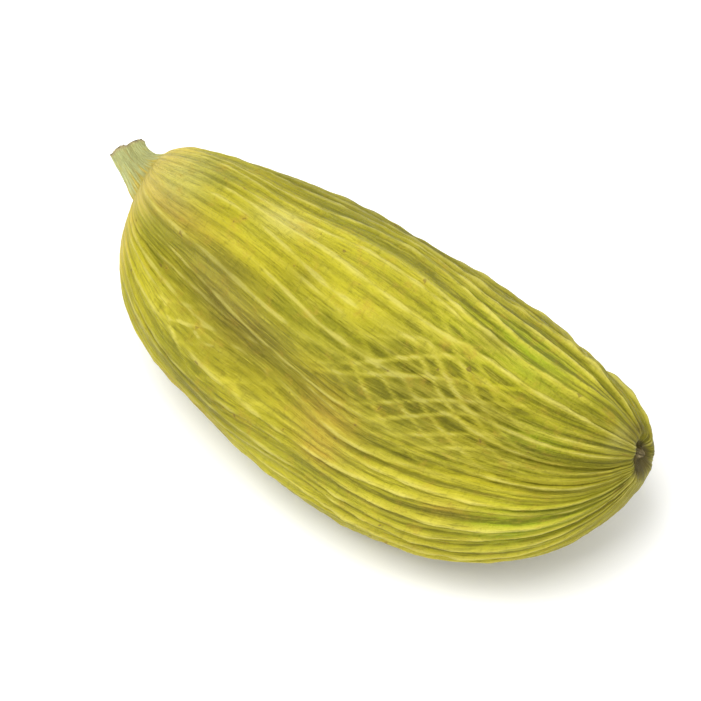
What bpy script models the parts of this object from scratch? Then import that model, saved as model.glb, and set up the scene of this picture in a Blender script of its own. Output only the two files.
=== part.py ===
# A dried green cardamom pod lying on its side, in metres, with +Z up.
# Its long axis is X: the stalk stub is at the -X end and the blunt tip at the +X end.
# The husk, its ribs and its stub grew as one piece, so they are one closed solid.
# "along" runs from 0 at the stalk end of the husk to 1 at its tip. "angle" goes round the
# husk in radians: 0 is +Y (the back), a quarter turn is the top, a half turn is the front.

import functools
import math

import bmesh
import bpy
from mathutils import Matrix, Vector, noise

# The husk
HUSK_LENGTH = 0.0195
HUSK_RADIUS = 0.00455
HUSK_FLATTENING = 0.95            # height over width
STALK_CAP_END = 0.55              # share of the length where the husk stops widening
STALK_CAP_BEND = 1.9
STALK_CAP_FULLNESS = 0.33
TIP_CAP_START = 0.50              # share of the length where it starts to narrow
TIP_CAP_BEND = 2.7
TIP_CAP_FULLNESS = 0.50

# Both ends lean to the back and up, which leaves the belly towards the front
LEAN_DIRECTION = Vector((0.0, 0.85, 0.527)).normalized()
STALK_END_LEAN = 0.00155
STALK_END_LEAN_DECAY = 4.5
STALK_END_LEAN_POWER = 0.62
TIP_END_LEAN = 0.00150
TIP_END_LEAN_POWER = 6.5

# Three seed chambers make the husk bluntly three-sided
CHAMBERS = 3
CHAMBER_ANGLE = math.radians(78)  # the middle of the top chamber
CHAMBER_SWELL = 0.055             # share of the radius

# Grooves between the chambers: a broad valley by the stalk and a narrow crease by the tip
VALLEY_SPAN = (0.02, 0.16, 0.36, 0.64)   # it starts, is full, starts to fade, is gone
SWING_SPAN = (0.08, 0.36, 0.44, 0.66)
CREASE_SPAN = (0.70, 0.88, 0.97, 1.00)
VALLEYS = (
    # angle, how far it swings round in its middle, depth, half width
    (math.radians(131), math.radians(11), 0.00066, math.radians(14)),
    (math.radians(258), math.radians(-8), 0.00020, math.radians(12)),
    (math.radians(16), 0.0, 0.00042, math.radians(12)),
)
CREASES = (
    # angle, depth, half width
    (math.radians(123), 0.00036, math.radians(6)),
    (math.radians(151), 0.00014, math.radians(5)),
    (math.radians(250), 0.00018, math.radians(6)),
    (math.radians(30), 0.00030, math.radians(14)),
)

# Fine ribs that run from end to end, each with its own strength and its own way
RIBS = 48
RIB_HEIGHT = 0.00015
RIB_STRAY = 0.75                  # share of their spacing
RIB_FADE_POWER = 0.55             # lower ribs where the husk is thinner
RIB_TWIST = math.radians(9)       # from end to end

# The ribs run together at a pole beside the end of the axis, up and to the back of it
POLE_SHIFT = 0.19                 # share of the husk's radius
POLE_SIDE = math.radians(55)

# Pleats where the ribs draw together at the tip
PLEATS = 15
PLEAT_DEPTH = 0.00013
PLEAT_SPAN = (0.72, 0.93)

# Uneven drying: broad dents, and soft folds that are long and narrow
DENT_DEPTH = 0.00022
DENT_LENGTH = 0.0042
FOLD_DEPTH = 0.00013
FOLD_WIDTH = 0.0017
FOLD_LENGTH = 0.0065

# The scar of the withered flower, in the blunt tip
SCAR_RADIUS = 0.00056
SCAR_DEPTH = 0.00042
SCAR_RIM = 0.00008

# The stub of the stalk, which curls up from the husk's axis and ends in a cut with a pit
STUB_LENGTH = 0.00150
STUB_CURL = math.radians(34)      # from its base to its cut end
STUB_BASE_RADIUS = 0.00104
STUB_WAIST_RADIUS = 0.00051
STUB_END_FLARE = 0.00008
STUB_PIT_RADIUS = 0.00036
STUB_PIT_DEPTH = 0.00028
NECK_SHARPNESS = 3.0              # how tightly the husk's shoulder meets the stub

# The pod lies on a small flat spot, this much of its underside pressed flat
FLAT_DEPTH = 0.00036

# Faces round and along the pod
STEPS_PER_RIB = 3
PIT_RINGS = 3
STUB_RINGS = 6
HUSK_RINGS = 32


def clear_scene():
    for old in list(bpy.data.objects):
        bpy.data.objects.remove(old)


def smooth_step(low, high, value):
    share = min(max((value - low) / (high - low), 0.0), 1.0)
    return share * share * (3.0 - 2.0 * share)


def window(span, value):
    """0 outside the span, 1 in its middle, with smooth slopes."""
    start, full, fading, gone = span
    return smooth_step(start, full, value) * (1.0 - smooth_step(fading, gone, value))


def angle_between(a, b):
    return abs(math.remainder(a - b, math.tau))


def husk_share(along):
    """The husk's radius along its length, as a share of the largest."""
    widening = max(1.0 - max(along, 0.0) / STALK_CAP_END, 0.0)
    narrowing = max(along - TIP_CAP_START, 0.0) / (1.0 - TIP_CAP_START)
    stalk_cap = (1.0 - widening**STALK_CAP_BEND) ** STALK_CAP_FULLNESS
    tip_cap = max(1.0 - narrowing**TIP_CAP_BEND, 0.0) ** TIP_CAP_FULLNESS
    return stalk_cap * tip_cap


def stub_radius(share):
    """The stub's radius from 0 at its base to 1 at its cut end."""
    base = (STUB_BASE_RADIUS - STUB_WAIST_RADIUS) * (1.0 - share) ** 2
    return STUB_WAIST_RADIUS + base + STUB_END_FLARE * share**4


def body_radius(along):
    """The radius without ribs and grooves. Below 0 "along" is in the stub."""
    if along <= 0.0:
        return stub_radius(-along * HUSK_LENGTH / STUB_LENGTH)
    neck = STUB_BASE_RADIUS * (1.0 - smooth_step(0.5, 1.0, along))
    husk = HUSK_RADIUS * husk_share(along)
    return (neck**NECK_SHARPNESS + husk**NECK_SHARPNESS) ** (1.0 / NECK_SHARPNESS)


def husk_centre(along):
    lean = STALK_END_LEAN * math.exp(-STALK_END_LEAN_DECAY * along**STALK_END_LEAN_POWER)
    lean += TIP_END_LEAN * along**TIP_END_LEAN_POWER
    return Vector((HUSK_LENGTH * (along - 0.5), 0.0, 0.0)) + LEAN_DIRECTION * lean


def centre_and_turn(along):
    """The middle of the pod there, and how far its cross-section is turned in the stub."""
    if along >= 0.0:
        return husk_centre(along), Matrix.Identity(3)
    turn = STUB_CURL * -along * HUSK_LENGTH / STUB_LENGTH
    bend_radius = STUB_LENGTH / STUB_CURL
    back = Vector((-bend_radius * math.sin(turn), 0.0, 0.0))
    up = LEAN_DIRECTION * bend_radius * (1.0 - math.cos(turn))
    hinge = Vector((1.0, 0.0, 0.0)).cross(LEAN_DIRECTION)
    return husk_centre(0.0) + back + up, Matrix.Rotation(-turn, 3, hinge)


def drawn_to_pole(along, angle):
    """Where on the husk's bare form a place lies, once the lines by the tip run to the pole."""
    if along <= 0.5:
        return along, angle
    reach = 2.0 * math.sqrt(along * (1.0 - along))   # 1 in the middle of the pod, 0 at the pole
    shift = POLE_SHIFT * (1.0 - reach) ** 2
    across = reach * math.cos(angle) + shift * math.cos(POLE_SIDE)
    upward = reach * math.sin(angle) + shift * math.sin(POLE_SIDE)
    spot = 0.5 + 0.5 * math.sqrt(max(1.0 - across**2 - upward**2, 0.0))
    return spot, math.atan2(upward, across)


def groove_depth(along, angle):
    depth = 0.0
    for valley_angle, swing, valley, width in VALLEYS:
        away = angle_between(angle, valley_angle + swing * window(SWING_SPAN, along)) / width
        depth += valley * window(VALLEY_SPAN, along) * math.exp(-(away**2))
    for crease_angle, crease, width in CREASES:
        away = angle_between(angle, crease_angle) / width
        depth += crease * window(CREASE_SPAN, along) * math.exp(-(away**2))
    return depth


def rib_stray(rib, along):
    """How far a rib strays sideways from its own place, as a share of the spacing."""
    drift = noise.noise(Vector((1.37 * (rib % RIBS), 3.1 * along, 0.0)))
    return RIB_STRAY * min(max(drift, -0.5), 0.5)


def rib_strength(rib, along):
    strength = 0.72 + noise.noise(Vector((1.37 * (rib % RIBS), 2.7 * along, 4.5)))
    return min(max(strength, 0.30), 1.0)


def line_angle(column, along):
    """The angle of one line of points. Lines follow the crests and share out the furrows."""
    rib, step = divmod(column, STEPS_PER_RIB)
    crest = rib + 0.5 + rib_stray(rib, along)
    following = rib + 1.5 + rib_stray(rib + 1, along)
    return math.tau / RIBS * (crest + (following - crest) * step / STEPS_PER_RIB)


def shared_wander(along, angle):
    """How far all ribs near there stray together, in radians."""
    stray = 0.035 * math.sin(6.5 * along + 2.0 * angle)
    stray += 0.018 * math.sin(14.0 * along - 3.0 * angle + 1.0)
    return stray + RIB_TWIST * (along - 0.5)


def fold_height(along, angle):
    """Noise on a plain cylinder, so that it closes round the pod and stretches along it."""
    radius = HUSK_RADIUS / FOLD_WIDTH
    place = (radius * math.cos(angle), radius * math.sin(angle), along * HUSK_LENGTH / FOLD_LENGTH)
    return FOLD_DEPTH * noise.noise(Vector(place))


def pleat_height(along, angle):
    pleats = math.cos(PLEATS * angle + 2.0 * math.sin(2.0 * angle))
    return PLEAT_DEPTH * pleats * smooth_step(*PLEAT_SPAN, along)


def surface_point(along, column):
    """The point at "along" on one line of points: the bare form first, then its relief."""
    start_angle = line_angle(column, along)
    angle = start_angle + shared_wander(along, start_angle)
    spot, side = drawn_to_pole(along, angle)
    radius = body_radius(spot)
    centre, turn = centre_and_turn(spot)
    place = centre + radius * Vector((0.0, math.cos(side), math.sin(side)))
    radius += DENT_DEPTH * radius / HUSK_RADIUS * noise.noise(place / DENT_LENGTH)
    radius *= 1.0 + CHAMBER_SWELL * math.cos(CHAMBERS * (side - CHAMBER_ANGLE))

    share = body_radius(along) / HUSK_RADIUS
    radius -= groove_depth(along, angle) * min(1.0, 2.0 * share)
    radius += share * (fold_height(along, start_angle) + pleat_height(along, start_angle))
    if column % STEPS_PER_RIB == 0:
        strength = rib_strength(column // STEPS_PER_RIB, along)
        radius += RIB_HEIGHT * strength * share**RIB_FADE_POWER
    spoke = Vector((0.0, math.cos(side), HUSK_FLATTENING * math.sin(side)))
    return centre + turn @ (radius * spoke)


@functools.cache
def tip_pole():
    return surface_point(1.0, 0)


def pit_point(inward, column):
    """In the cut end: inward runs from 0 at the pit's edge to 1 at the middle of its floor."""
    cut = -STUB_LENGTH / HUSK_LENGTH
    centre, turn = centre_and_turn(cut)
    angle = line_angle(column, cut)
    depth = STUB_PIT_DEPTH * smooth_step(0.0, 0.7, inward)
    spoke = Vector((0.0, math.cos(angle), math.sin(angle)))
    return centre + turn @ (Vector((depth, 0.0, 0.0)) + STUB_PIT_RADIUS * (1.0 - inward) * spoke)


def scar_offset(point):
    """How far the tip is raised or sunk near the scar."""
    pole = tip_pole()
    reach = math.hypot(point.y - pole.y, point.z - pole.z) / SCAR_RADIUS
    rim = SCAR_RIM * math.exp(-4.0 * (reach - 1.4) ** 2)
    return rim - SCAR_DEPTH * math.exp(-(reach**2))


def pod_point(ring, column):
    """Rings count from the middle of the cut end's pit, along the stub and husk, to the tip."""
    if ring < PIT_RINGS:
        return pit_point(1.0 - ring / (PIT_RINGS - 1), column)
    if ring < PIT_RINGS + STUB_RINGS:
        share = 1.0 - (ring - PIT_RINGS) / STUB_RINGS
        return surface_point(-share * STUB_LENGTH / HUSK_LENGTH, column)
    share = (ring - PIT_RINGS - STUB_RINGS) / HUSK_RINGS
    along = 0.5 - 0.5 * math.cos(math.pi * share)
    point = surface_point(along, column)
    if along > 0.5:
        point.x += scar_offset(point)
    return point


def make_pod_mesh():
    """A UV sphere whose rings and segments are laid along and round the pod."""
    rings = PIT_RINGS + STUB_RINGS + HUSK_RINGS
    columns = RIBS * STEPS_PER_RIB
    mesh = bpy.data.meshes.new("cardamom_pod")
    ball = bmesh.new()
    bmesh.ops.create_uvsphere(ball, u_segments=columns, v_segments=rings, radius=1.0)
    for vertex in ball.verts:
        x, y, z = vertex.co
        ring = round(rings * math.acos(min(max(-z, -1.0), 1.0)) / math.pi)
        column = round(columns * math.atan2(y, x) / math.tau) % columns
        vertex.co = pod_point(ring, column)
    bmesh.ops.triangulate(ball, faces=ball.faces)
    ball.to_mesh(mesh)
    ball.free()
    return mesh


def set_down(mesh):
    """Presses the underside flat, and puts the origin under the middle of the pod's box."""
    floor = min(vertex.co.z for vertex in mesh.vertices) + FLAT_DEPTH
    low = [min(vertex.co[axis] for vertex in mesh.vertices) for axis in range(2)]
    high = [max(vertex.co[axis] for vertex in mesh.vertices) for axis in range(2)]
    for vertex in mesh.vertices:
        vertex.co.z = max(vertex.co.z, floor) - floor
        vertex.co.x -= 0.5 * (low[0] + high[0])
        vertex.co.y -= 0.5 * (low[1] + high[1])


def make_material():
    material = bpy.data.materials.new("green husk")
    material.use_nodes = True
    shader = material.node_tree.nodes["Principled BSDF"]
    shader.inputs["Base Color"].default_value = (0.47, 0.42, 0.06, 1.0)
    shader.inputs["Roughness"].default_value = 0.6
    shader.inputs["Metallic"].default_value = 0.0
    return material


def main():
    clear_scene()
    parts = bpy.data.collections.new("Green cardamom pod")
    bpy.context.scene.collection.children.link(parts)
    mesh = make_pod_mesh()
    set_down(mesh)
    mesh.materials.append(make_material())
    mesh.shade_smooth()
    mesh.set_sharp_from_angle(angle=math.radians(50))
    parts.objects.link(bpy.data.objects.new("cardamom_pod", mesh))


main()
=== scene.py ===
import functools
import math

import bpy
from mathutils import Matrix, Vector, noise


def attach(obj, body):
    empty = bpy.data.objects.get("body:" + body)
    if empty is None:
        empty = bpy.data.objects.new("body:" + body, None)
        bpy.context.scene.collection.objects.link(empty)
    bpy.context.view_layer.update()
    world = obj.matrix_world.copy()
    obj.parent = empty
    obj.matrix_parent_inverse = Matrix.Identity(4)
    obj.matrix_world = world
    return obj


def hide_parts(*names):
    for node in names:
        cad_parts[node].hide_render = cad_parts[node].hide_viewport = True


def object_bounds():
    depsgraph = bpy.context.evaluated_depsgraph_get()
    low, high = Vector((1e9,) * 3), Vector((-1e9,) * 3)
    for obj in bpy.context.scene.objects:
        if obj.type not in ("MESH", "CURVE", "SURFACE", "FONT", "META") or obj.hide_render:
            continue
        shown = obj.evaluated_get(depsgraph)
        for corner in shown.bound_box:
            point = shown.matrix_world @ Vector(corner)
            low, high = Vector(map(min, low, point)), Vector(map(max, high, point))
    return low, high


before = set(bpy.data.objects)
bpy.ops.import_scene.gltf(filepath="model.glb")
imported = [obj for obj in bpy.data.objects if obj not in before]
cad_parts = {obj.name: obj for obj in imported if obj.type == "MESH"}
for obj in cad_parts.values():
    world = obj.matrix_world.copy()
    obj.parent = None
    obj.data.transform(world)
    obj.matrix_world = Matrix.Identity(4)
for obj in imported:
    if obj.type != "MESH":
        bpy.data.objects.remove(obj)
cadLow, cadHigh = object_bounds()
print("frame loaded: the pod is", [round(1000 * (b - a), 1) for a, b in zip(cadLow, cadHigh)], "mm")


def smoothStep(low, high, value):
    share = min(max((value - low) / (high - low), 0.0), 1.0)
    return share * share * (3.0 - 2.0 * share)


def hump(off, width):
    return math.exp(-((off / width) ** 2))


def window(span, value):
    # a span is where it starts, is full, starts to fade and is gone
    start, full, fading, gone = span
    return smoothStep(start, full, value) * (1.0 - smoothStep(fading, gone, value))


def turnBetween(a, b):
    return abs(math.remainder(a - b, math.tau))


def selectFaces(mesh, wanted):
    # for edit mode: only the faces that wanted(face) picks are selected
    bpy.ops.object.mode_set(mode="EDIT")
    bpy.ops.mesh.select_all(action="DESELECT")
    bpy.ops.mesh.select_mode(type="FACE")
    bpy.ops.object.mode_set(mode="OBJECT")
    for face in mesh.polygons:
        face.select = wanted(face)
    bpy.ops.object.mode_set(mode="EDIT")


# the pod, in metres and radians
podValues = {
    # its form, as its solid has it
    "huskLength": 0.0195,
    "huskRadius": 0.00455,
    "flattening": 0.95,
    "stalkCap": (0.55, 1.9, 0.33),         # share of the length, bend, fullness
    "tipCap": (0.50, 2.7, 0.50),
    "neckFade": (0.5, 1.0),                # where the stub's thickness is lost in the husk
    "neckBlend": 3,                        # how tightly the one turns into the other
    "leanDirection": Vector((0.0, 0.85, 0.527)).normalized(),
    "stalkLean": (0.00155, 4.5, 0.62),     # amount, decay, power
    "tipLean": (0.00150, 6.5),
    "dents": (0.00022, 0.0042),            # depth, length
    "chambers": (3, math.radians(78), 0.055),
    "valleySpan": (0.02, 0.16, 0.36, 0.64),
    "swingSpan": (0.08, 0.36, 0.44, 0.66),
    "valleys": (                           # angle, swing round in the middle, depth, half width
        (math.radians(131), math.radians(11), 0.00066, math.radians(14)),
        (math.radians(258), math.radians(-8), 0.00020, math.radians(12)),
        (math.radians(16), 0.0, 0.00042, math.radians(12)),
    ),
    "creaseSpan": (0.70, 0.88, 0.97, 1.00),
    "creases": (                           # angle, depth, half width
        (math.radians(123), 0.00036, math.radians(6)),
        (math.radians(151), 0.00014, math.radians(5)),
        (math.radians(250), 0.00018, math.radians(6)),
        (math.radians(30), 0.00030, math.radians(14)),
    ),
    "pole": (0.19, math.radians(55)),      # where the ribs meet: share of the radius beside the axis
    "ribs": 48,
    "ribTwist": math.radians(9),
    "stubLength": 0.00150,
    "stubCurl": math.radians(34),
    "stubRadii": (0.00104, 0.00051, 0.00008),   # base, waist, flare at the cut
    "pit": (0.00036, 0.00030),             # radius, depth
    "scar": (0.00056, 0.00042, 0.00008),   # radius, depth, rim

    # the faces that it is made of
    "facesPerRib": 10,
    "stubRings": 28,
    "huskRings": 168,
    "tipCrowding": 0.3,                    # how far from the tip the rings start to crowd

    # the relief that the solid is too coarse for
    "sways": (                             # of the ribs: amount, waves along, waves round, start
        (0.035, 6.5, 2.0, 0.0),
        (0.018, 14.0, -3.0, 1.0),
    ),
    "ribStrength": (0.72, 0.30),           # usual, least
    "ribPaces": (3.1, 2.7),                # how soon a rib strays, how soon it fades
    "ribLines": (0.19, 0.75, 0.0),         # width as a share of the spacing, how far they stray, seed
    "veinLines": (0.26, 0.75, 20.0),
    "netLines": (0.12, 0.7),
    "netCount": 38,
    "netSlants": ((2.4, 59.2), (-2.4, 20.8)),   # how far round they run from end to end, seed
    "netPlaces": (                         # along, degrees round, reach along, radians round
        (0.64, 114, 0.16, 0.42), (0.24, 152, 0.10, 0.22),
        (0.45, 230, 0.20, 0.40), (0.60, 355, 0.20, 0.35),
    ),
    "netSharpness": 1.6,
    "faintNet": 0.4,                       # its strength in patches elsewhere
    "faintNetSpan": (0.05, 0.2, 0.8, 0.95),
    "faintNetPatches": (0.0032, 0.0045),   # size round, along
    "faintNetEdge": (-0.05, 0.3),
    "ribsLostInNet": 0.35,
    "ribHeight": 0.00015,
    "ribGains": (0.72, 0.48, 0.40),        # by the stalk, more past the middle, more again before the tip
    "middleGain": (0.40, 0.66),
    "tipGain": (0.62, 0.78, 0.94, 1.0),
    "veinHeight": 0.00005,                 # of the thin veins between the ribs
    "netHeight": 0.00009,                  # of the veins that cross them
    "knobs": (0.60, (0.0006, 0.0007)),     # how uneven the ribs are, size of the knobs
    "pleats": (0.00013, 15.0),             # depth, how many meet at the tip
    "pleatSpan": (0.72, 0.93),
    "folds": (0.00013, (0.0017, 0.0065)),  # of the dried skin: depth, size round and along
    "fibres": (0.00003, (0.00030, 0.0030)),
    "crumple": (0.00006, 0.00045),         # depth, size
    "pucker": (0.25, 9.0, 0.6),            # of the scar's rim: amount, folds, unevenness
    "nub": (0.00026, 0.34, 0.5, 5.0),      # height, width, amount and number of its folds
    "tornEnd": (0.00010, 0.0013, 5),       # depth, size round, how many rings of the stub
    "pitSteps": (0.5, 0.3, 0.2),
    "pitNarrowing": 0.82,
    # the pit grows darker deeper down
    "pitDarkening": (0.00002, 0.00015),        # how far down it starts and is full

    # how crests and hollows count for the colour; the hollows' darkening is painted shade
    "veinCrest": 0.45,
    "netCrest": 0.8,
    "deepGroove": 0.0006,
    "pleatHollow": 0.5,
    "netHollow": 0.70,

    # where the husk is tinted, in soft blots: along, degrees round, reach along, radians round
    "tintEdge": (0.45, (0.0016, 0.0045)),  # how ragged a blot is, in what size
    "tints": {
        "fresh": (
            (0.75, 77, 0.11, 0.26), (0.85, 110, 0.05, 0.12), (0.33, 250, 0.20, 0.50),
            (0.55, 350, 0.16, 0.40), (0.88, 172, 0.08, 0.30),
        ),
        "dry": (
            (0.52, 147, 0.075, 0.25), (0.54, 163, 0.035, 0.10), (0.77, 163, 0.035, 0.09),
            (0.09, 106, 0.10, 0.15), (0.62, 300, 0.12, 0.35), (0.24, 205, 0.09, 0.30),
        ),
        # a paler neck top, and painted highlights: a bright band on the top lobe and a dot on the tip's rim
        "paleAndPaintedHighlight": ((0.07, 80, 0.065, 0.50), (0.29, 80, 0.045, 0.12), (0.97, 88, 0.012, 0.20)),
        # brown in the valley, partly painted shade of the valley, and a darker band by the upper rim that
        # is painted shade
        "bruise": (
            (0.24, 124, 0.07, 0.24), (0.33, 136, 0.08, 0.24), (0.30, 15, 0.14, 0.20),
            (0.40, 262, 0.12, 0.18),
        ),
        # painted light on the lit bands of the top and lower lobes, and brighter yellow tone elsewhere
        "paintedLightAndYellow": (
            (0.26, 99, 0.05, 0.12), (0.30, 80, 0.08, 0.18), (0.47, 91, 0.09, 0.20),
            (0.17, 150, 0.08, 0.16), (0.42, 75, 0.08, 0.12), (0.45, 154, 0.07, 0.13),
            (0.84, 152, 0.06, 0.14), (0.74, 158, 0.10, 0.22), (0.45, 190, 0.25, 0.25),
            (0.50, 322, 0.30, 0.30), (0.575, 120, 0.035, 0.08), (0.87, 70, 0.04, 0.10),
        ),
        # painted shade along the upper and lower rims, in the crease by the tip and beside the valley, and
        # darker patches of tone elsewhere
        "paintedShadeAndDarkTone": (
            (0.65, 118, 0.10, 0.30), (0.16, 117, 0.05, 0.09), (0.79, 107, 0.07, 0.12),
            (0.70, 240, 0.16, 0.30), (0.75, 5, 0.14, 0.30), (0.25, 42, 0.15, 0.25),
            (0.46, 39, 0.15, 0.25), (0.68, 38, 0.15, 0.25), (0.30, 178, 0.10, 0.13),
            (0.71, 80, 0.04, 0.08), (0.38, 98, 0.035, 0.07), (0.25, 113, 0.07, 0.08),
        ),
        "stain": ((0.980, 55, 0.012, 0.45),),
    },
}


@functools.lru_cache(None)
def bodyRadius(along):
    base, waist, flare = podValues["stubRadii"]
    if along <= 0.0:
        share = -along * podValues["huskLength"] / podValues["stubLength"]
        return waist + (base - waist) * (1.0 - share) ** 2 + flare * share ** 4
    capEnd, capBend, capFullness = podValues["stalkCap"]
    tipStart, tipBend, tipFullness = podValues["tipCap"]
    widening = max(1.0 - along / capEnd, 0.0)
    narrowing = max(along - tipStart, 0.0) / (1.0 - tipStart)
    share = (1.0 - widening ** capBend) ** capFullness * max(1.0 - narrowing ** tipBend, 0.0) ** tipFullness
    neck = base * (1.0 - smoothStep(*podValues["neckFade"], along))
    blend = podValues["neckBlend"]
    return (neck ** blend + (podValues["huskRadius"] * share) ** blend) ** (1 / blend)


@functools.lru_cache(None)
def huskCentre(along):
    amount, decay, power = podValues["stalkLean"]
    tipAmount, tipPower = podValues["tipLean"]
    lean = amount * math.exp(-decay * along ** power) + tipAmount * along ** tipPower
    onAxis = Vector((podValues["huskLength"] * (along - 0.5), 0.0, 0.0))
    return onAxis + podValues["leanDirection"] * lean


@functools.lru_cache(None)
def centreAndTurn(along):
    if along >= 0.0:
        return huskCentre(along), Matrix.Identity(3)
    length, curl, lean = podValues["stubLength"], podValues["stubCurl"], podValues["leanDirection"]
    turn = curl * -along * podValues["huskLength"] / length
    back = Vector((-length / curl * math.sin(turn), 0.0, 0.0))
    up = lean * length / curl * (1.0 - math.cos(turn))
    return huskCentre(0.0) + back + up, Matrix.Rotation(-turn, 3, Vector((1.0, 0.0, 0.0)).cross(lean))


def drawnToPole(along, angle):
    # where on the bare form a place lies, once the lines by the tip run to the pole
    if along <= 0.5:
        return along, angle
    poleShift, poleSide = podValues["pole"]
    reach = 2.0 * math.sqrt(max(along * (1.0 - along), 0.0))
    shift = poleShift * (1.0 - reach) ** 2
    across = reach * math.cos(angle) + shift * math.cos(poleSide)
    upward = reach * math.sin(angle) + shift * math.sin(poleSide)
    return 0.5 + 0.5 * math.sqrt(max(1.0 - across ** 2 - upward ** 2, 0.0)), math.atan2(upward, across)


def grooveDepth(along, angle):
    depth = 0.0
    valleyShare = window(podValues["valleySpan"], along)
    swingShare = window(podValues["swingSpan"], along)
    for valleyAngle, swing, valley, width in podValues["valleys"]:
        away = turnBetween(angle, valleyAngle + swing * swingShare)
        depth += valley * valleyShare * hump(away, width)
    creaseShare = window(podValues["creaseSpan"], along)
    for creaseAngle, crease, width in podValues["creases"]:
        depth += crease * creaseShare * hump(turnBetween(angle, creaseAngle), width)
    return depth


def unrolled(along, angle, size=(1.0, 1.0)):
    # a place on a plain cylinder, so that a pattern stretches along the fibres and closes round the pod
    radius = podValues["huskRadius"] / size[0]
    length = podValues["huskLength"] / size[1]
    return Vector((radius * math.cos(angle), radius * math.sin(angle), along * length))


def tint(places, along, angle):
    raggedness, size = podValues["tintEdge"]
    total = 0.0
    for centre, side, run, spread in places:
        reach = math.hypot((along - centre) / run, turnBetween(angle, math.radians(side)) / spread)
        patch = unrolled(along, angle, size) + Vector((0.0, 3.0 * centre, 0.0))
        reach += raggedness * noise.noise(patch)
        total += math.exp(-max(reach, 0.0) ** 2)
    return min(total, 1.0)


def ribPattern(along, angle, count, width, drift, seed):
    # 0 between the ribs to 1 on a strong one: each strays and has its own strength, so some merge or fade
    usual, least = podValues["ribStrength"]
    strayPace, fadePace = podValues["ribPaces"]
    place = count * angle / math.tau
    highest = 0.0
    for rib in range(math.floor(place) - 1, math.floor(place) + 2):
        own = 1.37 * (rib % count)         # this rib's place in the noise
        stray = min(max(noise.noise(Vector((own, strayPace * along, seed))), -0.5), 0.5)
        strength = usual + noise.noise(Vector((own, fadePace * along, seed + 4.5)))
        crest = hump(place - rib - 0.5 - drift * stray, width)
        highest = max(highest, min(max(strength, least), 1.0) * crest)
    return highest


def netPattern(along, startAngle):
    # lines that slant both ways
    net = 0.0
    for slant, seed in podValues["netSlants"]:
        lineAngle = startAngle + slant * along
        pattern = ribPattern(along, lineAngle, podValues["netCount"], *podValues["netLines"], seed)
        net = max(net, pattern)
    return min(podValues["netSharpness"] * net, 1.0)


def nettedShare(along, startAngle, angle):
    # where the net shows: in its places, and faintly in patches elsewhere
    patch = unrolled(along, startAngle, podValues["faintNetPatches"]) + Vector((0, 0, 5.7))
    patchy = smoothStep(*podValues["faintNetEdge"], noise.noise(patch))
    faint = podValues["faintNet"] * patchy * window(podValues["faintNetSpan"], along)
    return max(faint, tint(podValues["netPlaces"], along, angle))


def bareHusk(along, angle):
    # the form under the ribs: its centre, its turn, and the radius and side of a place on it
    spot, side = drawnToPole(along, angle)
    radius = bodyRadius(spot)
    centre, turn = centreAndTurn(spot)
    place = centre + radius * Vector((0.0, math.cos(side), math.sin(side)))
    dentDepth, dentLength = podValues["dents"]
    radius += dentDepth * radius / podValues["huskRadius"] * noise.noise(place / dentLength)
    chambers, chamberAngle, swell = podValues["chambers"]
    radius *= 1.0 + swell * math.cos(chambers * (side - chamberAngle))
    return centre, turn, radius, side


def huskPoint(along, startAngle):
    # the place on the husk, how high its rib is, how far it lies in a hollow, and its angle
    sway = 0.0
    for amount, waves, turns, start in podValues["sways"]:
        sway += amount * math.sin(waves * along + turns * startAngle + start)
    angle = startAngle + sway + podValues["ribTwist"] * (along - 0.5)
    centre, turn, radius, side = bareHusk(along, angle)
    share = bodyRadius(along) / podValues["huskRadius"]
    groove = grooveDepth(along, angle)
    radius -= groove * min(1.0, 2.0 * share)

    netted = nettedShare(along, startAngle, angle)
    net = netPattern(along, startAngle) * netted
    rib = ribPattern(along, startAngle, podValues["ribs"], *podValues["ribLines"])
    rib *= 1.0 - podValues["ribsLostInNet"] * netted
    vein = ribPattern(along, startAngle, 2 * podValues["ribs"], *podValues["veinLines"])
    unevenness, knobSize = podValues["knobs"]
    knobbly = 1.0 + unevenness * noise.noise(unrolled(along, startAngle, knobSize))
    plain, middle, tip = podValues["ribGains"]
    gain = plain + middle * smoothStep(*podValues["middleGain"], along)
    gain += tip * window(podValues["tipGain"], along)
    radius += podValues["ribHeight"] * gain * rib * knobbly * share ** 0.55
    radius += podValues["veinHeight"] * vein * (1.0 - 0.7 * rib) * share
    radius += podValues["netHeight"] * net * (1.0 - rib) * share

    pleatDepth, pleats = podValues["pleats"]
    pleat = math.cos(pleats * startAngle + 2.0 * math.sin(2.0 * startAngle))
    pleat *= smoothStep(*podValues["pleatSpan"], along)
    foldDepth, foldSize = podValues["folds"]
    fold = noise.noise(unrolled(along, startAngle, foldSize))
    fibreDepth, fibreSize = podValues["fibres"]
    fibre = 1.0 - 2.0 * abs(noise.noise(unrolled(along, startAngle, fibreSize)))
    radius += pleatDepth * pleat * share
    radius += foldDepth * fold * share
    radius += fibreDepth * (fibre - 0.6) * share ** 0.5

    crest = rib * knobbly + (podValues["veinCrest"] * vein + podValues["netCrest"] * net) * (1.0 - rib)
    # how much painted shade darkens this place, in the grooves, the pleats by the tip and the net's cells
    hollow = groove / podValues["deepGroove"] + podValues["pleatHollow"] * max(-pleat, 0.0)
    hollow += podValues["netHollow"] * (netted - net)
    spoke = Vector((0.0, math.cos(side), podValues["flattening"] * math.sin(side)))
    return centre + turn @ (radius * spoke), min(crest, 1.0), hollow, angle


@functools.lru_cache(None)
def tipPole():
    return huskPoint(1.0, 0.0)[0]


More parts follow.
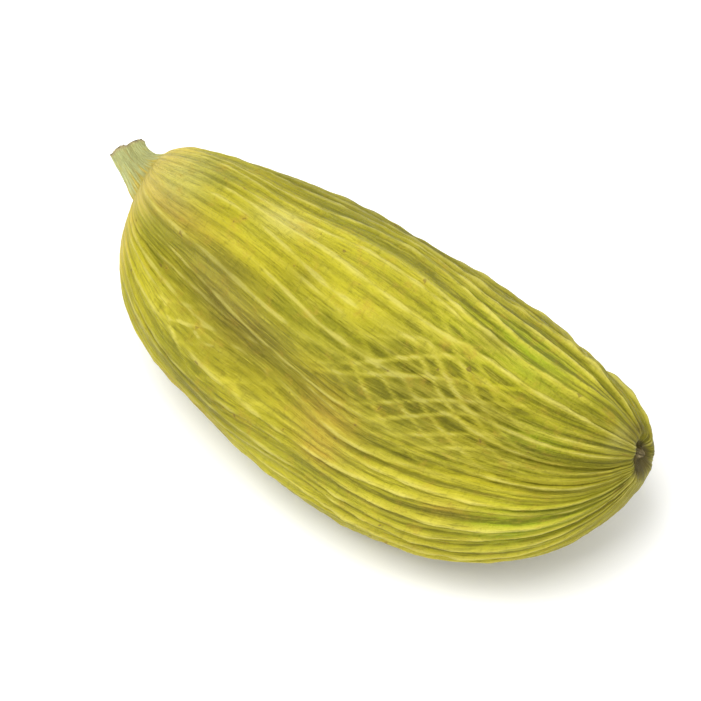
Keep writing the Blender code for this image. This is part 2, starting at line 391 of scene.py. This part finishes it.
def scarOffset(point):
    # a puckered hollow in the tip, with the dry nub of the flower in its middle
    radius, depth, rim = podValues["scar"]
    pole = tipPole()
    side = math.atan2(point.z - pole.z, point.y - pole.y)
    reach = math.hypot(point.y - pole.y, point.z - pole.z) / radius
    amount, folds, unevenness = podValues["pucker"]
    uneven = noise.noise(Vector((2 * math.cos(side), 2 * math.sin(side), 1.3)))
    pucker = 1.0 + amount * math.cos(folds * side) + unevenness * uneven
    nubHeight, nubWidth, nubAmount, nubFolds = podValues["nub"]
    nub = nubHeight * hump(reach, nubWidth) * (1.0 + nubAmount * math.cos(nubFolds * side + 7.0 * reach))
    return rim * pucker * math.exp(-4.0 * (reach - 1.4) ** 2) - depth * math.exp(-(reach ** 2)) + nub


def podPoint(ring, angle):
    # rings count from the middle of the cut end, along the stub and husk, to the tip
    stub, husk = podValues["stubRings"], podValues["huskRings"]
    stubShare = podValues["stubLength"] / podValues["huskLength"]
    if ring <= stub:
        along = -stubShare * (1.0 - max(ring - 1, 0) / stub)
        if ring == 0:
            return centreAndTurn(along)[0].copy(), 0.0, 0.0, along, angle
        point, crest, hollow, turned = huskPoint(along, angle)
        tear, tearSize, tornRings = podValues["tornEnd"]
        ragged = tear * noise.noise(unrolled(0.3, angle, (tearSize, 1.0)))
        point.x += ragged * max(1.0 - (ring - 1) / tornRings, 0.0)
        return point, crest, hollow, along, turned
    share = (ring - stub) / husk
    crowding = podValues["tipCrowding"]
    along = 1.0 - (math.hypot(1.0 - share, crowding) - crowding) / (math.hypot(1.0, crowding) - crowding)
    point, crest, hollow, turned = huskPoint(along, angle)
    if along > 0.5:
        point.x += scarOffset(point)
    return point, crest, hollow, along, turned


def cutTheEnd(pod):
    # the cut end of the stub: its face is inset to a rim and sunk in steps to a hollow
    cut = -podValues["stubLength"] / podValues["huskLength"]
    centre, turn = centreAndTurn(cut)
    inward = turn @ Vector((1.0, 0.0, 0.0))
    radius, depth = podValues["pit"]
    selectFaces(pod.data, lambda face: len(face.vertices) == 3 and face.center.x < centre.x + 0.001)
    bpy.ops.mesh.inset(thickness=bodyRadius(cut) - radius)
    narrowing = 3 * (podValues["pitNarrowing"],)
    for share in podValues["pitSteps"]:
        bpy.ops.mesh.extrude_region_move(TRANSFORM_OT_translate={"value": inward * depth * share})
        bpy.ops.transform.resize(value=narrowing, center_override=centre + inward * depth)
    bpy.ops.object.mode_set(mode="OBJECT")
    return centre, inward


def makePod():
    rings = podValues["stubRings"] + podValues["huskRings"]
    segments = podValues["ribs"] * podValues["facesPerRib"]
    radius = podValues["huskRadius"]
    bpy.ops.object.select_all(action="DESELECT")
    bpy.ops.mesh.primitive_uv_sphere_add(
        segments=segments, ring_count=rings, radius=radius, rotation=(0, -math.pi / 2, 0))
    bpy.ops.object.transform_apply(rotation=True)
    pod = bpy.context.object
    pod.name = "podHusk"
    mesh = pod.data
    facts = ("rib", "hollow", "along", "pit", *podValues["tints"])
    for name in facts:
        mesh.attributes.new(name, "FLOAT", "POINT")
    mesh.attributes.new("fibre", "FLOAT_VECTOR", "POINT")
    values = {name: [] for name in facts}
    fibres = []
    for vertex in mesh.vertices:
        ring = round(rings * math.acos(min(max(-vertex.co.x / radius, -1.0), 1.0)) / math.pi)
        startAngle = math.atan2(vertex.co.z, vertex.co.y)
        vertex.co, crest, hollow, along, angle = podPoint(ring, startAngle)
        values["rib"].append(crest)
        values["hollow"].append(hollow)
        values["along"].append(along)
        values["pit"].append(0.0)
        for name, places in podValues["tints"].items():
            values[name].append(tint(places, along, angle))
        fibres.extend(1000.0 * unrolled(along, startAngle))
    for name in facts:
        mesh.attributes[name].data.foreach_set("value", values[name])
    mesh.attributes["fibre"].data.foreach_set("vector", fibres)

    centre, inward = cutTheEnd(pod)
    for vertex, pit in zip(mesh.vertices, mesh.attributes["pit"].data):
        sunk = (vertex.co - centre).dot(inward)
        outward = (vertex.co - centre - inward * sunk).length
        if vertex.co.x < centre.x + 0.0006 and outward < 1.15 * podValues["pit"][0]:
            pit.value = smoothStep(*podValues["pitDarkening"], sunk)

    crumpleDepth, crumpleSize = podValues["crumple"]
    crumple = pod.modifiers.new("crumple", "DISPLACE")
    crumple.texture = bpy.data.textures.new("crumpledSkin", "CLOUDS")
    crumple.texture.noise_scale = crumpleSize
    crumple.texture.noise_depth = 3
    crumple.texture_coords = "LOCAL"
    crumple.strength = crumpleDepth
    crumple.mid_level = 0.5
    bpy.ops.object.modifier_apply(modifier="crumple")

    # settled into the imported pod's box, with its underside pressed flat on the table
    low = [min(vertex.co[axis] for vertex in mesh.vertices) for axis in range(3)]
    high = [max(vertex.co[axis] for vertex in mesh.vertices) for axis in range(3)]
    floor = high[2] - (cadHigh[2] - cadLow[2])
    for vertex in mesh.vertices:
        vertex.co.x += 0.5 * (cadLow[0] + cadHigh[0] - low[0] - high[0])
        vertex.co.y += 0.5 * (cadLow[1] + cadHigh[1] - low[1] - high[1])
        vertex.co.z = max(vertex.co.z, floor) - floor
    bpy.ops.object.shade_smooth()
    return pod


# the husk's finish, with colours as linear light
huskLook = {
    "colours": {
        "olive": (0.245, 0.236, 0.006),
        "yellow": (0.430, 0.378, 0.010),
        "straw": (0.600, 0.525, 0.055),
        "vein": (0.680, 0.610, 0.150),
        # dark grain, and painted shade in the hollows, between the ribs and on the rims
        "darkGrainAndPaintedShade": (0.095, 0.090, 0.003),
        "fresh": (0.330, 0.425, 0.010),
        "dry": (0.455, 0.295, 0.034),
        # brown, and painted shade
        "bruise": (0.165, 0.125, 0.014),
        # painted light, and brighter yellow
        "paintedLightAndYellow": (0.560, 0.500, 0.022),
        "neck": (0.760, 0.600, 0.120),
        # pale tone, and painted highlight
        "paleAndPaintedHighlight": (0.660, 0.600, 0.170),
        # painted shade, and darker tone
        "paintedShadeAndDarkTone": (0.205, 0.188, 0.004),
        "stub": (0.590, 0.640, 0.290),
        "cut": (0.560, 0.450, 0.230),
        "pit": (0.055, 0.030, 0.010),
        "tip": (0.170, 0.150, 0.020),
        "scar": (0.115, 0.085, 0.022),
        "speck": (0.130, 0.080, 0.020),
    },
    # noise that runs with the fibres: stretch round, round and along, scale to the mm, detail, roughness
    "grains": {
        "broad": ((1.0, 1.0, 0.45), 0.42, 3.0, 0.60),
        "streak": ((1.0, 1.0, 0.075), 2.1, 5.0, 0.65),
        "thread": ((1.0, 1.0, 0.09), 9.0, 4.0, 0.65),
        "strand": ((1.0, 1.0, 0.05), 17.0, 2.0, 0.60),
        "wrinkle": ((0.45, 0.45, 1.0), 6.5, 3.0, 0.60),
        "mottle": ((1.0, 1.0, 1.0), 1.7, 6.0, 0.70),
        "fleck": ((1.0, 1.0, 1.0), 3.4, 1.0, 0.50),
        "dust": ((1.0, 1.0, 1.0), 18.0, 3.0, 0.60),
        "stubStreak": ((0.30, 0.30, 0.45), 3.0, 4.0, 0.60),
    },
    # what weighs a layer: it goes by which value, from where to where, and what it is at either end
    "weights": {
        "mottled": ("mottle", 0.30, 0.60, 0.65, 1.0),
        "towardsTip": ("along", 0.44, 0.70, 0.52, 1.30),
        "ribbed": ("rib", 0.0, 0.5, 0.72, 1.0),
        "onStub": ("along", -0.03, -0.005, 1.0, 0.0),
        "frayed": ("streak", 0.3, 0.7, -0.02, 0.02),
    },
    "ground": ("broad", 0.36, 0.66),       # olive at the one end, yellow at the other
    # laid over it in turn: colour, most of it, by which value, where none, where most, weighed by
    "layers": (
        # painted light and brighter yellow tone
        ("paintedLightAndYellow", 0.65, "paintedLightAndYellow"),
        ("fresh", 0.75, "fresh"),
        # painted shade on the rims and in the creases, with darker patches of tone
        ("paintedShadeAndDarkTone", 0.75, "paintedShadeAndDarkTone"),
        ("dry", 0.75, "dry"),
        # paler tone and painted highlights
        ("paleAndPaintedHighlight", 0.65, "paleAndPaintedHighlight"),
        # brown and painted shade in the valley
        ("bruise", 0.80, "mottledBrownAndShade"),
        ("straw", 0.40, "streak", 0.50, 0.72),
        ("darkGrainAndPaintedShade", 0.40, "streak", 0.47, 0.30),
        ("straw", 0.50, "rib", 0.15, 0.75, "towardsTip"),
        # darker between the ribs: partly the furrows' own tone, partly painted shade
        ("darkGrainAndPaintedShade", 0.50, "rib", 0.25, 0.0, "towardsTip"),
        # painted shade in the grooves, the pleats by the tip and the net's cells
        ("darkGrainAndPaintedShade", 0.27, "hollow", 0.15, 0.65),
        ("straw", 0.40, "thread", 0.54, 0.72),
        ("darkGrainAndPaintedShade", 0.45, "thread", 0.46, 0.28),
        ("straw", 0.30, "strand", 0.55, 0.70),
        ("darkGrainAndPaintedShade", 0.32, "strand", 0.45, 0.30),
        ("dry", 0.50, "mottle", 0.52, 0.74),
        ("darkGrainAndPaintedShade", 0.20, "wrinkle", 0.46, 0.30),
        ("vein", 0.42, "rib", 0.62, 0.95),
        # the painted shade and darker patches once more, over the grain
        ("darkGrainAndPaintedShade", 0.30, "paintedShadeAndDarkTone"),
        # the brown and painted shade once more, over the grain
        ("bruise", 0.28, "mottledBrownAndShade"),
        ("neck", 0.80, "ends", 0.085, 0.01, "ribbed"),
        ("stub", 0.90, "ends", 0.0, -0.025, "ribbed"),
        ("dry", 0.32, "stubStreak", 0.52, 0.68, "onStub"),
        ("vein", 0.60, "stubStreak", 0.46, 0.32, "onStub"),
        ("cut", 0.90, "along", -0.0700, -0.0765),
        # darker deeper in the pit
        ("pit", 0.97, "pit"),
        ("tip", 0.18, "ends", 0.91, 1.0),
        ("scar", 0.70, "stain"),
        ("scar", 0.90, "along", 0.9945, 0.9985),
        ("cut", 0.80, "along", 0.9994, 0.9999),   # the dry nub
        ("speck", 0.55, "fleck", 0.745, 0.785),
    ),
    "roughness": (0.7, 1.3, 0.42, 0.66),   # from and to of thread and mottle together, then of roughness
    "specular": 0.22,
    "bumps": (("dust", 0.40), ("strand", 0.50), ("wrinkle", 0.55)),   # added to thread
    "bumpStrength": 0.9,
    "bumpDepth": 0.00014,
}


class NodeBench:
    def __init__(self, material):
        material.use_nodes = True
        self.tree = material.node_tree
        self.shader = self.tree.nodes["Principled BSDF"]

    def add(self, kind, links, **settings):
        node = self.tree.nodes.new(kind)
        for name, value in settings.items():
            setattr(node, name, value)
        for name, value in links.items():
            if isinstance(value, bpy.types.NodeSocket):
                self.tree.links.new(value, node.inputs[name])
            else:
                node.inputs[name].default_value = value
        return node

    def fact(self, name, output="Fac"):
        return self.add("ShaderNodeAttribute", {}, attribute_name=name).outputs[output]

    def grain(self, vector, stretch, scale, detail, roughness):
        stretched = self.add("ShaderNodeVectorMath", {0: vector, 1: stretch}, operation="MULTIPLY")
        links = {"Vector": stretched.outputs[0], "Scale": scale, "Detail": detail, "Roughness": roughness}
        return self.add("ShaderNodeTexNoise", links).outputs["Fac"]

    def spread(self, value, low, high, toLow=0.0, toHigh=1.0):
        links = {"Value": value, "From Min": low, "From Max": high, "To Min": toLow, "To Max": toHigh}
        return self.add("ShaderNodeMapRange", links, interpolation_type="SMOOTHSTEP").outputs["Result"]

    def sums(self, operation, a, b):
        return self.add("ShaderNodeMath", {0: a, 1: b}, operation=operation).outputs[0]

    def mix(self, share, a, b):
        return self.add("ShaderNodeMix", {0: share, 6: a, 7: b}, data_type="RGBA").outputs[2]

    def shareOf(self, values, most, name, none=None, full=None, weight=None):
        # how much of a layer shows: straight by the value, or rising from none to full of it
        if none is None:
            return self.sums("MULTIPLY", values[name], most)
        share = self.spread(values[name], none, full, 0.0, most)
        return self.sums("MULTIPLY", values[weight], share) if weight else share


def huskMaterial():
    material = bpy.data.materials.new("greenHusk")
    bench = NodeBench(material)
    fibre = bench.fact("fibre", "Vector")
    values = {name: bench.grain(fibre, *grain) for name, grain in huskLook["grains"].items()}
    for name in ("rib", "hollow", "along", "pit", *podValues["tints"]):
        values[name] = bench.fact(name)
    for name, (source, *ends) in huskLook["weights"].items():
        values[name] = bench.spread(values[source], *ends)
    # the brown and painted shade, broken up by the mottle
    values["mottledBrownAndShade"] = bench.sums("MULTIPLY", values["bruise"], values["mottled"])
    values["ends"] = bench.sums("ADD", values["along"], values["frayed"])   # along, with a frayed edge

    colours = {name: (*colour, 1.0) for name, colour in huskLook["colours"].items()}
    source, *ends = huskLook["ground"]
    colour = bench.mix(bench.spread(values[source], *ends), colours["olive"], colours["yellow"])
    for name, *layer in huskLook["layers"]:
        colour = bench.mix(bench.shareOf(values, *layer), colour, colours[name])
    bench.tree.links.new(colour, bench.shader.inputs["Base Color"])

    both = bench.sums("ADD", values["thread"], values["mottle"])
    bench.tree.links.new(bench.spread(both, *huskLook["roughness"]), bench.shader.inputs["Roughness"])
    bench.shader.inputs["Specular IOR Level"].default_value = huskLook["specular"]

    height = values["thread"]
    for name, share in huskLook["bumps"]:
        height = bench.sums("ADD", height, bench.sums("MULTIPLY", values[name], share))
    links = {"Height": height, "Strength": huskLook["bumpStrength"], "Distance": huskLook["bumpDepth"]}
    bump = bench.add("ShaderNodeBump", links)
    bench.tree.links.new(bump.outputs["Normal"], bench.shader.inputs["Normal"])
    return material


pod = makePod()
print("pod modelled:", len(pod.data.polygons), "faces")
pod.data.materials.append(huskMaterial())
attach(pod, "root")
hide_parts("cardamom_pod")
print("husk painted in", len(huskLook["layers"]), "layers")

# table, light and camera
studio = {
    "tableSize": 3.0,
    "tableColour": (0.97, 0.97, 0.97, 1.0),
    "tableRoughness": 0.8,
    "skyColour": (1.0, 1.0, 1.0, 1.0),
    "skyStrength": 0.90,
    "lampPower": 0.60,
    "lampSize": 0.16,
    "lampPlace": (-0.025, -0.055, 0.25),
    "lampAim": (0.0, 0.0, 0.004),
    "azimuth": math.radians(35.7),
    "elevation": math.radians(60),
    "lens": 400,
    "distance": 0.255,
    "clipStart": 0.01,
}

bpy.ops.object.select_all(action="DESELECT")
bpy.ops.mesh.primitive_plane_add(size=studio["tableSize"], location=(0, 0, 0))
table = bpy.context.object
table.name = "table"
tableMaterial = bpy.data.materials.new("paleTable")
tableMaterial.use_nodes = True
tableShader = tableMaterial.node_tree.nodes["Principled BSDF"]
tableShader.inputs["Base Color"].default_value = studio["tableColour"]
tableShader.inputs["Roughness"].default_value = studio["tableRoughness"]
table.data.materials.append(tableMaterial)

world = bpy.data.worlds.new("softSky")
world.use_nodes = True
world.node_tree.nodes["Background"].inputs["Color"].default_value = studio["skyColour"]
world.node_tree.nodes["Background"].inputs["Strength"].default_value = studio["skyStrength"]
bpy.context.scene.world = world

bpy.ops.object.light_add(type="AREA", location=studio["lampPlace"])
lamp = bpy.context.object
lamp.name = "softBox"
lamp.data.energy = studio["lampPower"]
lamp.data.size = studio["lampSize"]
lamp.rotation_euler = (Vector(studio["lampAim"]) - lamp.location).to_track_quat("-Z", "Y").to_euler()

aim = 0.5 * (Vector(cadLow) + Vector(cadHigh))
flat = math.cos(studio["elevation"])
away = Vector((math.sin(studio["azimuth"]) * flat, -math.cos(studio["azimuth"]) * flat,
               math.sin(studio["elevation"])))
bpy.ops.object.camera_add(location=aim + away * studio["distance"])
camera = bpy.context.object
camera.name = "camera"
camera.data.lens = studio["lens"]
camera.data.clip_start = studio["clipStart"]
camera.rotation_euler = (-away).to_track_quat("-Z", "Y").to_euler()
bpy.context.scene.camera = camera
bpy.context.scene.view_settings.view_transform = "Standard"
print("table, light and camera set")
